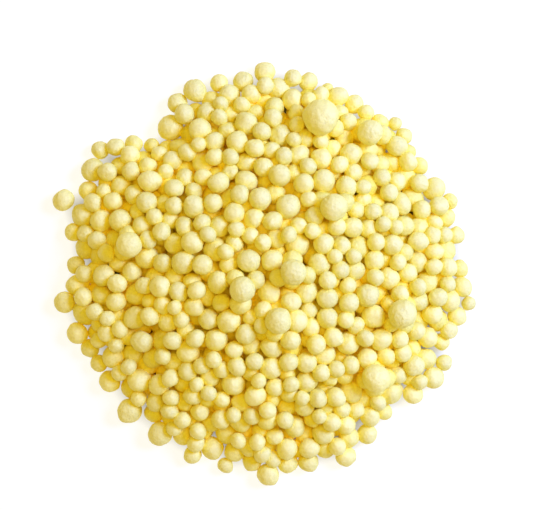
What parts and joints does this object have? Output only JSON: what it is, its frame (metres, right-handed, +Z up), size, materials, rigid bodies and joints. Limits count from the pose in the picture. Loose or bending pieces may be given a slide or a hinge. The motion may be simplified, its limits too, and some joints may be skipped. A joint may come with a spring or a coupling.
{
  "type": "heap of granular sulfur",
  "caption": "Low round heap of pale yellow sulfur granules that rests on a flat surface, with loose granules at its foot and larger ones on top.",
  "frame": {"origin": "under the middle of the heap, on the surface that it lies on", "axes": "+Z up out of the surface, +X to the right and +Y to the top of the picture, which looks straight down"},
  "size_m": [0.0753, 0.0752, 0.0182],
  "materials": {
    "sulfur": "matt, chalky pale yellow"
  },
  "bodies": {
    "root": {"granule_heap": "sulfur", "foot_granule_01": "sulfur", "foot_granule_02": "sulfur", "foot_granule_03": "sulfur", "foot_granule_04": "sulfur", "foot_granule_05": "sulfur", "foot_granule_06": "sulfur", "foot_granule_07": "sulfur", "foot_granule_08": "sulfur", "foot_granule_09": "sulfur", "foot_granule_10": "sulfur", "foot_granule_11": "sulfur", "foot_granule_12": "sulfur", "foot_granule_13": "sulfur", "foot_granule_14": "sulfur", "foot_granule_15": "sulfur", "foot_granule_16": "sulfur", "foot_granule_17": "sulfur", "foot_granule_18": "sulfur", "foot_granule_19": "sulfur", "foot_granule_20": "sulfur", "foot_granule_21": "sulfur", "foot_granule_22": "sulfur", "foot_granule_23": "sulfur", "foot_granule_24": "sulfur", "foot_granule_25": "sulfur", "foot_granule_26": "sulfur", "foot_granule_27": "sulfur", "foot_granule_28": "sulfur", "foot_granule_29": "sulfur", "foot_granule_30": "sulfur", "foot_granule_31": "sulfur", "foot_granule_32": "sulfur", "foot_granule_33": "sulfur", "foot_granule_34": "sulfur", "foot_granule_35": "sulfur", "foot_granule_36": "sulfur", "foot_granule_37": "sulfur", "foot_granule_38": "sulfur", "foot_granule_39": "sulfur", "foot_granule_40": "sulfur", "foot_granule_41": "sulfur", "foot_granule_42": "sulfur", "foot_granule_43": "sulfur", "foot_granule_44": "sulfur", "foot_granule_45": "sulfur", "foot_granule_46": "sulfur", "foot_granule_47": "sulfur", "foot_granule_48": "sulfur", "foot_granule_49": "sulfur", "foot_granule_50": "sulfur", "top_granule_1": "sulfur", "top_granule_2": "sulfur", "top_granule_3": "sulfur", "top_granule_4": "sulfur", "top_granule_5": "sulfur", "top_granule_6": "sulfur", "top_granule_7": "sulfur", "top_granule_8": "sulfur", "top_granule_9": "sulfur"}
  },
  "joints": []
}
